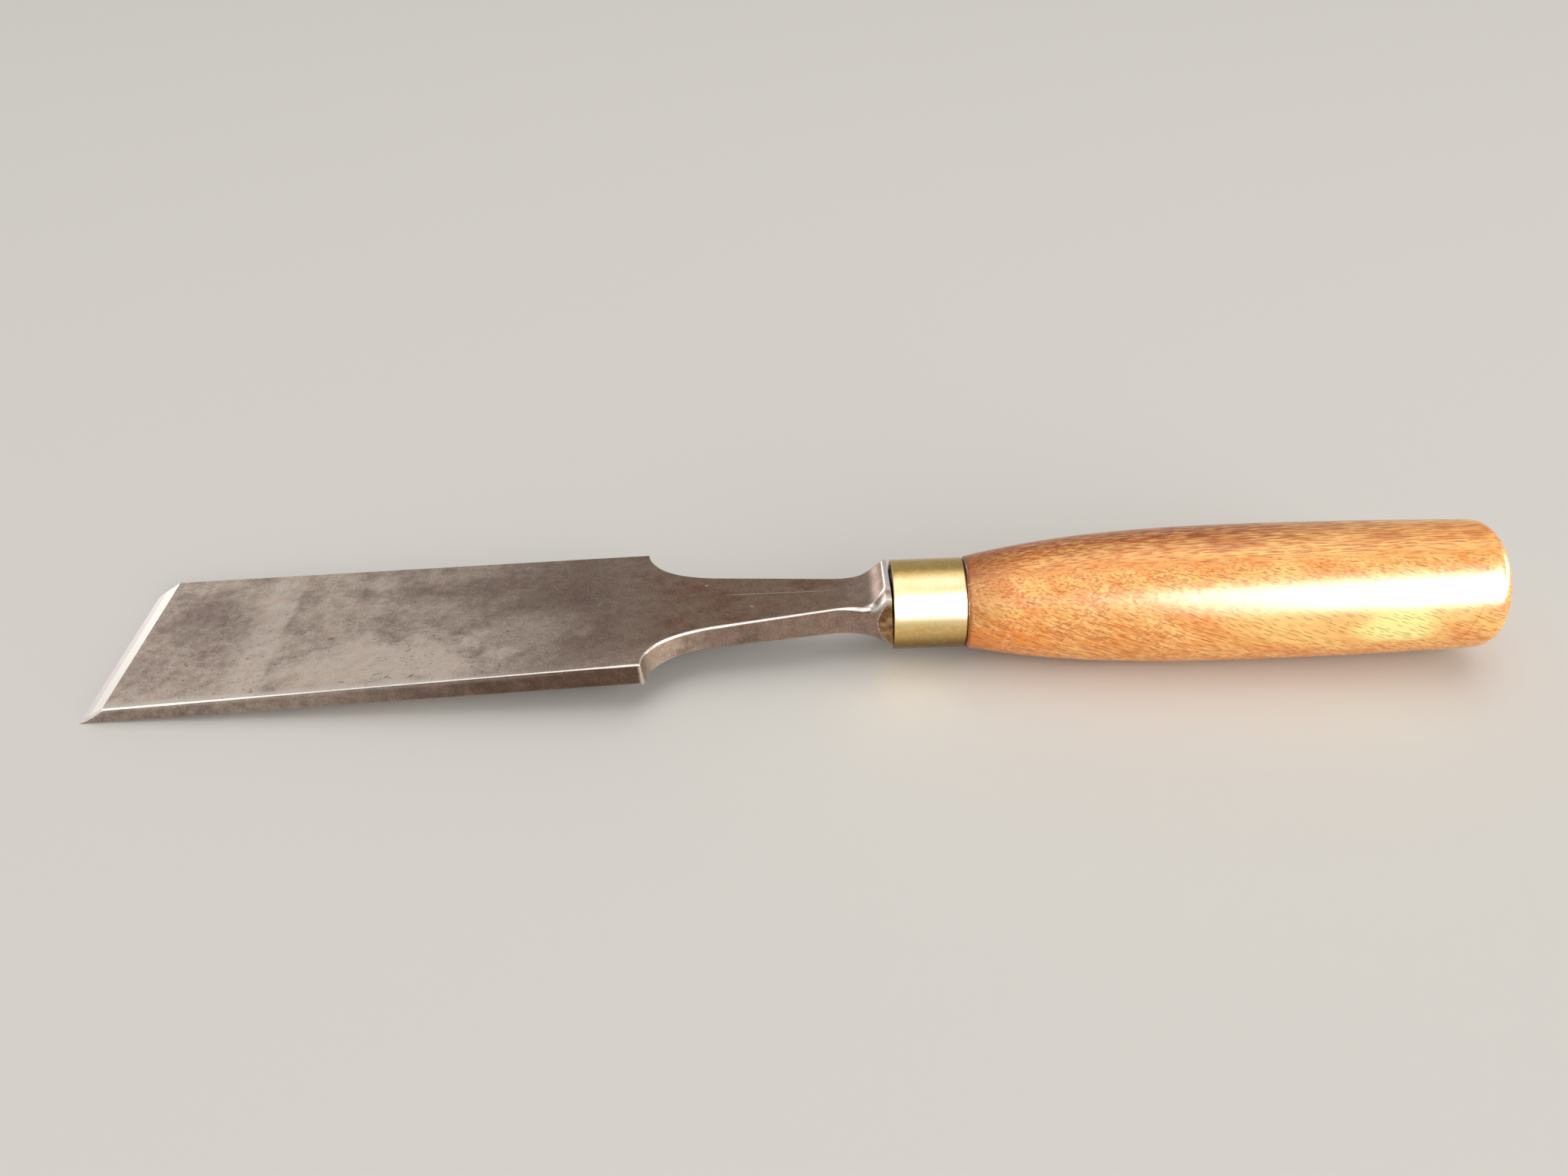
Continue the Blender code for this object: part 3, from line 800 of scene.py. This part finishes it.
def turned_brass():
    """Polished brass with fine lathe lines round the tube, which draw its gleam out along the axis, a painted
    dark olive reflection along the top and a painted darker gold one below, darkest underneath, with tarnish
    specks and rubbed spots in these painted bands, and a painted shadow at the front rim."""
    finish, tree, shader, place = new_finish("turned_brass")
    along, across, up = node(tree, "SeparateXYZ", {0: place}).outputs
    around = maths("ARCTAN2", across, up)
    ring = node(tree, "CombineXYZ", {0: along, 1: around}).outputs[0]
    lines = clouds(ring, (0.14, 1.6, 1.0), 3.0, 0.65)
    cloud = clouds(place, (5.0, 4.0, 4.0), 4.0, 0.6)
    specks = clouds(place, (1.1, 0.8, 0.8), 4.0, 0.65)
    # Painted reflection: dark olive along the top, darker gold below, darkest underneath
    above = times(fade(across, *DARK_REFLECTION_ACROSS), fade(up, *DARK_REFLECTION_UP))
    below = fade(up, *LOWER_REFLECTION_UP)
    painted_reflection_bands = maths("MAXIMUM", above, below)
    tone = tint(fade(cloud, 0.35, 0.7), BRASS.pale, BRASS.warm)
    tone = wash(tone, fade(lines, 0.4, 0.75), 0.3, BRASS.line)
    tone = wash(tone, above, 0.85, BRASS.above)
    tone = wash(tone, below, 0.8, BRASS.below)
    tone = wash(tone, fade(up, *UNDERSIDE_REFLECTION_UP), 0.9, BRASS.underside)
    # Tarnish specks and rubbed spots within the painted reflection bands
    tone = wash(tone, times(painted_reflection_bands, fade(specks, 0.42, 0.74)), 0.28, BRASS.tarnish)
    tone = wash(tone, times(painted_reflection_bands, fade(specks, 0.5, 0.28)), 0.2, BRASS.rubbed)
    for middle in FERRULE_NICKS:
        tone = wash(tone, stain(place, middle, NICK_REACH), 0.6, BRASS.nick)
    gap = fade(along, FERRULE_FRONT + GAP_SHADOW[0], FERRULE_FRONT + GAP_SHADOW[1])
    tone = tint(gap, tone, BRASS.gap)
    dress(tree, shader, tone, maths("MULTIPLY_ADD", lines, 0.08, 0.3), lines, 0.05)
    tangent = node(tree, "Tangent", {}, direction_type="RADIAL", axis="X")
    tree.links.new(tangent.outputs[0], shader.inputs["Tangent"])
    shader.inputs["Anisotropic"].default_value = 0.85
    shader.inputs["Anisotropic Rotation"].default_value = 0.25
    shader.inputs["Metallic"].default_value = 1.0
    return finish


ferrule = turn_on_lathe("brass_ferrule", ferrule_profile(), True)
ferrule.data.materials.append(turned_brass())
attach(ferrule, "root")
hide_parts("ferrule")

# Handle: one piece of oak, turned between centres with a spigot for the ferrule and a domed end, bored for
# the tang, then oiled and varnished. Open pores show as dark dashes and the rays as mottled flecks.
HANDLE_SHOULDER = 179.3
HANDLE_END = 290.6
SHOULDER_RADIUS = 9.5
BELLY_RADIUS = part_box("handle")[1].y / MM
BELLY_PLACE = 238.0
END_RADIUS = 13.38
SWELL_SLOPE = 0.215
END_SLOPE = 0.037
END_CORNER = 4.2
END_DOME = 26.0
SPIGOT_RADIUS = 7.95
SPIGOT_PROUD = 0.25
SPIGOT_CHAMFER = 0.5
BORE_RADIUS = 5.4
BORE_TIP_RADIUS = 2.8
BORE_END = 233.8
WAVER = 0.03
WAVER_LENGTH = 9.0
WAVER_START = 5.0
OAK = SimpleNamespace(
    dark_band=shade(236, 156, 76), pale_band=shade(253, 194, 112), blotch=shade(238, 148, 70),
    dark_fibre=shade(196, 100, 34), pale_fibre=shade(255, 214, 144), crown_shade=shade(132, 52, 4),
    root=shade(142, 74, 30), seam=shade(96, 54, 30), hidden=shade(30, 20, 12), pore=shade(142, 58, 8),
    dark_ray=shade(186, 98, 52), pale_ray=shade(255, 208, 154), hairline=shade(176, 74, 36),
    sawn=shade(224, 146, 72), early_wood=shade(172, 90, 34), end_pore=shade(104, 46, 12),
)

# Grain: how it lies on the sides and on the top, its pores, its rays, and the heart of the tree it came from
GRAIN_ON_SIDE = (0.0, math.radians(23.0), math.radians(2.0))
GRAIN_ON_TOP = (0.0, math.radians(2.0), math.radians(1.0))
SIDE_PORES = SimpleNamespace(cell=(2.7, 0.68, 0.68), length=4.0, width=0.33)
TOP_PORES = SimpleNamespace(cell=(4.6, 0.66, 0.66), length=6.5, width=0.36)
RAY_TURN = (0.0, math.radians(-28.0), 0.0)
RAYS_END = (258.0, 234.0)
HEART = (9.0, -34.0)
RING_WIDTH = 2.1
SAWN_FROM_END = (3.2, 1.5)

# Where the wood is darker: painted shade on the upper far side; towards the ferrule; and painted shadow in
# the seam beside the ferrule and under it
SHADED_CROWN_UP = (3.0, 10.0)
SHADED_CROWN_ACROSS = (-7.0, 3.0)
SHADED_CROWN_ALONG = (296.0, 226.0)
ROOT_ALONG = (192.0, 180.0)
SEAM_SHADOW = (0.9, 0.2)
HIDDEN_SHADOW = (0.4, 0.1)

# Marks on the handle: patches by their middle, reach, colour and strength, two of them a painted glow, and a
# hairline on the near side
HANDLE_PATCHES = (
    ((187.0, -10.4, -2.8), (11.0, 6.0, 4.0), shade(246, 136, 46), 0.4),
    ((233.0, -2.8, 13.9), (5.0, 1.5, 2.0), shade(186, 98, 54), 0.5),
    ((264.6, -1.9, 13.9), (4.0, 1.1, 2.0), shade(186, 98, 54), 0.45),
    # These two pale yellow patches low on the near side, towards the end, are a painted glow under the
    # highlight
    ((258.0, -14.0, 0.5), (26.0, 8.0, 6.0), shade(255, 216, 134), 0.5),
    ((264.5, -14.0, 0.0), (8.0, 6.0, 4.0), shade(255, 246, 160), 0.85),
    ((282.2, -9.1, 10.0), (0.4, 0.4, 0.4), shade(110, 60, 30), 0.8),
)
HAIRLINE_PLACE = 280.4
HAIRLINE_SLOPE = 0.31
HAIRLINE_WIDTH = (0.16, 0.05)
HAIRLINE_ACROSS = (-9.0, -11.0)
HAIRLINE_REACH = (5.5, 3.0)


def handle_profile():
    """The bore, the spigot, the shoulder, the swelling body and the domed end, as (x, radius)."""
    spigot_front = FERRULE_FRONT - SPIGOT_PROUD
    start = (HANDLE_SHOULDER + RIM_ROUND, SHOULDER_RADIUS + SWELL_SLOPE * RIM_ROUND)
    belly = (BELLY_PLACE, BELLY_RADIUS)
    profile = [
        (BORE_END, 0.0), (BORE_END, BORE_TIP_RADIUS), (spigot_front, BORE_RADIUS),
        (spigot_front, SPIGOT_RADIUS - SPIGOT_CHAMFER), (FERRULE_FRONT, SPIGOT_RADIUS),
        (HANDLE_SHOULDER, SPIGOT_RADIUS), (HANDLE_SHOULDER, SHOULDER_RADIUS - RIM_ROUND), start,
    ]
    third = (BELLY_PLACE - HANDLE_SHOULDER) / 3
    swell_handle = (HANDLE_SHOULDER + third, SHOULDER_RADIUS + SWELL_SLOPE * third)
    profile += bezier(start, swell_handle, (BELLY_PLACE - third, BELLY_RADIUS), belly, steps=40)

    end_angle = math.atan(END_SLOPE)
    dome_centre = HANDLE_END - END_DOME
    corner_radius = END_RADIUS - END_CORNER * math.cos(end_angle)
    corner_x = dome_centre + math.sqrt((END_DOME - END_CORNER) ** 2 - corner_radius**2)
    meet_angle = math.atan2(corner_radius, corner_x - dome_centre)
    corner = arc((corner_x, corner_radius), END_CORNER, math.pi / 2 - end_angle, meet_angle, steps=10)
    third = (corner[0][0] - BELLY_PLACE) / 3
    end_handle = (corner[0][0] - third, corner[0][1] + END_SLOPE * third)
    profile += bezier(belly, (BELLY_PLACE + third, BELLY_RADIUS), end_handle, corner[0], steps=36)
    profile += corner[1:]
    profile += arc((dome_centre, 0.0), END_DOME, meet_angle, 0.0, steps=12)[1:-1]
    return profile + [(HANDLE_END, 0.0)]


def hand_turned(x, angle):
    """The lathe tool's slight waver on the body, always inwards."""
    waver = noise.noise((x / WAVER_LENGTH, math.sin(angle), math.cos(angle)))
    return WAVER * (waver - 1) * ease(x, HANDLE_SHOULDER, HANDLE_SHOULDER + WAVER_START)


def oak_patterns(tree, place):
    """The place on the handle, how far it faces sideways, and the random patterns of its wood."""
    along, across, up = node(tree, "SeparateXYZ", {0: place}).outputs
    ring = node(tree, "CombineXYZ", {1: up, 2: times(across, -1.0)}).outputs[0]
    ring = node(tree, "VectorMath", {0: ring}, operation="NORMALIZE").outputs[0]
    sideways = maths("ABSOLUTE", node(tree, "SeparateXYZ", {0: ring}).outputs[2])
    on_side = fade(sideways, 0.35, 0.62)

    def along_grain(size, detail, rough):
        """Streaks that lie level on the top of the handle and slant down towards its end on the sides."""
        level = clouds(place, size, detail, rough, GRAIN_ON_TOP)
        slanted = clouds(place, size, detail, rough, GRAIN_ON_SIDE)
        return node(tree, "Mix", {0: on_side, 2: level, 3: slanted}).outputs[0]

    return SimpleNamespace(
        tree=tree, place=place, along=along, across=across, up=up, ring=ring, on_side=on_side,
        blotch=clouds(place, (13.0, 7.0, 7.0), 3.0, 0.55),
        bands=along_grain((45.0, 4.0, 2.6), 3.0, 0.55),
        fibres=along_grain((3.6, 0.34, 0.3), 2.0, 0.5),
    )


def oak_grain(oak):
    """Growth bands, blotches and fibres, painted shade in streaks on the upper far side, darker towards the
    ferrule, a painted shadow in the seam beside it, and a few patches, two of them a painted glow.
    """
    along = oak.along
    fibres = oak.fibres
    tone = tint(fade(oak.bands, 0.32, 0.68), OAK.dark_band, OAK.pale_band)
    tone = wash(tone, fade(oak.blotch, 0.5, 0.75), 0.4, OAK.blotch)
    tone = wash(tone, fade(fibres, 0.48, 0.68), 0.78, OAK.dark_fibre)
    tone = wash(tone, fade(fibres, 0.48, 0.32), 0.45, OAK.pale_fibre)
    # Painted shade on the upper far side, strongest towards the ferrule, laid in streaks along the fibres
    crown_shade = times(
        fade(oak.up, *SHADED_CROWN_UP), fade(oak.across, *SHADED_CROWN_ACROSS),
        fade(along, *SHADED_CROWN_ALONG),
    )
    streaky = maths("MULTIPLY_ADD", fade(fibres, 0.4, 0.6), 0.52, 0.44)
    tone = wash(tone, crown_shade, streaky, OAK.crown_shade)
    on_top = maths("SUBTRACT", 1.0, oak.on_side)
    root = maths("MULTIPLY_ADD", on_top, 0.22, 0.42)
    tone = wash(tone, root, fade(along, *ROOT_ALONG), OAK.root)
    seam = fade(along, HANDLE_SHOULDER + SEAM_SHADOW[0], HANDLE_SHOULDER + SEAM_SHADOW[1])
    tone = wash(tone, seam, 0.7, OAK.seam)
    ragged = maths("MULTIPLY_ADD", oak.blotch, 1.6, -0.8)
    for middle, reach, colour, amount in HANDLE_PATCHES:
        tone = wash(tone, stain(oak.place, middle, reach, ragged), amount, colour)
    return tone


def oak_rays(oak, tone):
    """Adds mottled flecks on the sides, in clusters that end towards the handle's end."""
    rays = clouds(oak.place, (0.95, 0.6, 0.5), 3.0, 0.6, RAY_TURN)
    clusters = fade(clouds(oak.place, (6.0, 4.0, 3.0), 2.0, 0.5, RAY_TURN), 0.46, 0.56)
    reach = maths("MULTIPLY_ADD", oak.blotch, 40.0, oak.along)
    clusters = times(clusters, oak.on_side, fade(reach, *RAYS_END))
    tone = wash(tone, times(clusters, fade(rays, 0.52, 0.6)), 0.5, OAK.dark_ray)
    return wash(tone, times(clusters, fade(rays, 0.46, 0.38)), 0.5, OAK.pale_ray)


def pore_dashes(oak, pores, turn):
    """Dark dashes along the grain, one to a cell, that lie in the turned surface."""
    tree = oak.tree
    seat = stretched(oak.place, pores.cell, turn)
    cells = node(tree, "TexVoronoi", {"Vector": seat, "Scale": 1.0}).outputs
    offset = node(tree, "VectorMath", {0: seat, 1: cells["Position"]}, operation="SUBTRACT").outputs[0]
    offset = node(tree, "VectorMath", {0: offset, 1: pores.cell}, operation="MULTIPLY").outputs[0]
    across = node(tree, "VectorMath", {0: offset, 1: oak.ring}, operation="DOT_PRODUCT").outputs["Value"]
    chance = node(tree, "SeparateColor", {0: cells["Color"]}).outputs
    reach = times(maths("MULTIPLY_ADD", chance[1], 0.6, 0.4), pores.length / 2)
    run = maths("ABSOLUTE", node(tree, "SeparateXYZ", {0: offset}).outputs[0])
    ends = fade(maths("SUBTRACT", run, reach), 0.1, -1.1)
    sides = fade(maths("ABSOLUTE", across), pores.width / 2, 0.0)
    return times(ends, sides, fade(chance[0], 1.0, 0.2))


def hairline(oak):
    """A fine dark line across the near side, close to the handle's end."""
    line = maths("MULTIPLY_ADD", oak.up, HAIRLINE_SLOPE, HAIRLINE_PLACE)
    off_line = maths("ABSOLUTE", maths("SUBTRACT", oak.along, line))
    height = maths("ABSOLUTE", oak.up)
    return times(
        fade(off_line, *HAIRLINE_WIDTH), fade(oak.across, *HAIRLINE_ACROSS),
        fade(height, *HAIRLINE_REACH),
    )


def end_grain(oak, tone):
    """Adds the handle's end, sawn across the tree: arcs of yearly rings with open pores, and pale rays."""
    tree = oak.tree
    sawn = fade(oak.along, HANDLE_END - SAWN_FROM_END[0], HANDLE_END - SAWN_FROM_END[1])
    across = maths("SUBTRACT", oak.across, HEART[0])
    up = maths("SUBTRACT", oak.up, HEART[1])
    from_heart = maths("SQRT", maths("MULTIPLY_ADD", across, across, times(up, up)))
    year = maths("DIVIDE", from_heart, RING_WIDTH)
    year = maths("FRACT", maths("MULTIPLY_ADD", oak.blotch, 2.6, year))
    early = times(fade(year, 0.35, 0.8), fade(year, 1.0, 0.92), sawn)
    tone = wash(tone, sawn, 0.75, OAK.sawn)
    tone = wash(tone, early, 0.5, OAK.early_wood)
    spokes = node(tree, "CombineXYZ", {0: maths("ARCTAN2", across, up), 1: from_heart}).outputs[0]
    rays = fade(clouds(spokes, (0.012, 8.0, 1.0), 2.0, 0.5), 0.54, 0.66)
    tone = wash(tone, times(rays, sawn), 0.45, OAK.pale_ray)
    holes = fade(clouds(oak.place, (4.0, 0.3, 0.3), 1.0, 0.5), 0.55, 0.66)
    return wash(tone, times(holes, early), 0.8, OAK.end_pore)


def varnished_oak():
    """Honey-coloured oak with its grain, rays, dark pores and sawn end, under a gloss coat."""
    finish, tree, shader, place = new_finish("varnished_oak")
    oak = oak_patterns(tree, place)
    tone = oak_rays(oak, oak_grain(oak))
    side_pores = pore_dashes(oak, SIDE_PORES, GRAIN_ON_SIDE)
    top_pores = pore_dashes(oak, TOP_PORES, GRAIN_ON_TOP)
    pores = node(tree, "Mix", {0: oak.on_side, 2: top_pores, 3: side_pores}).outputs[0]
    tone = wash(tone, pores, 0.76, OAK.pore)
    tone = wash(tone, hairline(oak), 0.5, OAK.hairline)
    hidden = fade(oak.along, FERRULE_FRONT + HIDDEN_SHADOW[0], FERRULE_FRONT + HIDDEN_SHADOW[1])
    tone = tint(hidden, tone, OAK.hidden)
    tone = end_grain(oak, tone)
    relief = maths("SUBTRACT", times(oak.fibres, 0.2), times(pores, 0.3))
    dress(tree, shader, tone, maths("MULTIPLY_ADD", pores, 0.25, 0.35), relief, 0.25)
    shader.inputs["Coat Weight"].default_value = 1.0
    shader.inputs["Coat Roughness"].default_value = 0.26
    shader.inputs["Specular IOR Level"].default_value = 0.0
    return finish


handle = turn_on_lathe("oak_handle", handle_profile(), False, hand_turned)
handle.data.materials.append(varnished_oak())
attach(handle, "root")
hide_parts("handle")

# Bench: a plain pale round floor under the tool, wide enough to fill the photograph's view. It isn't part of
# the tool. The lamps that light it stand well back, so that no part of it is lit from close by. Metres.
FLOOR_RADIUS = 1.5
FLOOR_STEPS = 180
FLOOR_COLOUR = shade(208, 206, 202)
FLOOR_ROUGHNESS = 0.9

floor_mesh = bpy.data.meshes.new("pale_floor")
floor_angles = [2 * math.pi * step / FLOOR_STEPS for step in range(FLOOR_STEPS)]
floor_rim = [(FLOOR_RADIUS * math.cos(angle), FLOOR_RADIUS * math.sin(angle), 0.0) for angle in floor_angles]
floor_mesh.from_pydata(floor_rim, [], [range(FLOOR_STEPS)])
floor = bpy.data.objects.new("pale_floor", floor_mesh)
bpy.context.scene.collection.objects.link(floor)
floor_paint = bpy.data.materials.new("pale_floor")
floor_paint.use_nodes = True
paint_inputs = floor_paint.node_tree.nodes["Principled BSDF"].inputs
paint_inputs["Base Color"].default_value = FLOOR_COLOUR
paint_inputs["Roughness"].default_value = FLOOR_ROUGHNESS
paint_inputs["Specular IOR Level"].default_value = 0.0
floor_mesh.materials.append(floor_paint)

# Light: a soft room with a wide window in front and to the right, dimmer panes in front, to the left, to the
# right and low behind, a pale ceiling, and grey walls all round. Only the brass and the varnish mirror the
# two windows on the right at their full strength. Metres.
LOOK_AT = (0.05, 0.0, 0.012)
LAMP_COLOUR = (1.0, 0.98, 0.95)
ROOM_COLOUR = (0.51, 0.5, 0.485, 1.0)
GLEAM_BACK = 1.005
LIT_BACK = 2.4

polished = bpy.data.collections.new("polished")
polished.objects.link(ferrule)
polished.objects.link(handle)


def soft_lamp(name, place, width, height, lit, mirrored, gleam=0.0, roll=0.0):
    """A rectangular lamp that faces the tool: how strongly it lights things, how bright they mirror it, and
    how much brighter the polished pieces do. 1 is as bright as a white wall in that light. The three stand
    behind each other, so that none hides another, and the one that lights things stands farthest back."""
    facing = Vector(place) - Vector(LOOK_AT)
    turn = facing.to_track_quat("Z", "Y") @ Quaternion((0.0, 0.0, 1.0), roll)
    lamps = (("_mirrored", mirrored, 1.0), ("_gleam", gleam, GLEAM_BACK), ("", lit, LIT_BACK))
    for part, strength, back in lamps:
        if strength == 0:
            continue
        lamp = bpy.data.lights.new(name + part, "AREA")
        lamp.shape = "RECTANGLE"
        lamp.size = back * width
        lamp.size_y = back * height
        lamp.energy = strength * math.pi * lamp.size * lamp.size_y
        lamp.color = LAMP_COLOUR
        carrier = bpy.data.objects.new(name + part, lamp)
        bpy.context.scene.collection.objects.link(carrier)
        carrier.location = Vector(LOOK_AT) + back * facing
        carrier.rotation_euler = turn.to_euler()
        carrier.visible_camera = False
        carrier.visible_diffuse = part == ""
        carrier.visible_glossy = part != ""
        if part == "_gleam":
            carrier.light_linking.receiver_collection = polished


soft_lamp(
    "window", (0.84, -0.87, 0.43), 1.12, 1.06, lit=3.4, mirrored=1.65, gleam=29.0, roll=math.radians(10.0),
)
soft_lamp("right_window", (1.22, -0.06, 0.2), 0.9, 0.32, lit=0.2, mirrored=1.0, gleam=18.0)
soft_lamp("front_window", (-0.11, -1.2, 0.72), 0.52, 0.6, lit=0.2, mirrored=1.9)
soft_lamp("left_window", (-0.8, -0.9, 0.42), 0.5, 0.5, lit=0.3, mirrored=1.65)
soft_lamp("ceiling", (0.0, 0.05, 1.3), 2.0, 1.0, lit=1.2, mirrored=1.15)
soft_lamp("low_window", (-0.84, 0.86, 0.16), 0.5, 0.24, lit=2.0, mirrored=3.4)

world = bpy.data.worlds.new("grey_room")
bpy.context.scene.world = world
world.use_nodes = True
world.node_tree.nodes["Background"].inputs["Color"].default_value = ROOM_COLOUR

# Camera: stands over the front of the tool, where the photograph was taken from, and looks down at it.
# Metres, with the lens and the sensor's width in millimetres.
CAMERA_PLACE = (-0.006752, -0.228153, 0.175954)
CAMERA_TILT = math.radians(55.02996)
CAMERA_TURN = math.radians(-0.75707)
LENS = 30.76171875
SENSOR_WIDTH = 36.0
NEAREST = 0.01

camera_data = bpy.data.cameras.new("photo_camera")
camera_data.sensor_width = SENSOR_WIDTH
camera_data.lens = LENS
camera_data.clip_start = NEAREST
camera = bpy.data.objects.new("photo_camera", camera_data)
bpy.context.scene.collection.objects.link(camera)
camera.location = CAMERA_PLACE
camera.rotation_euler = (CAMERA_TILT, 0.0, CAMERA_TURN)
bpy.context.scene.camera = camera
bpy.context.scene.view_settings.view_transform = "Standard"
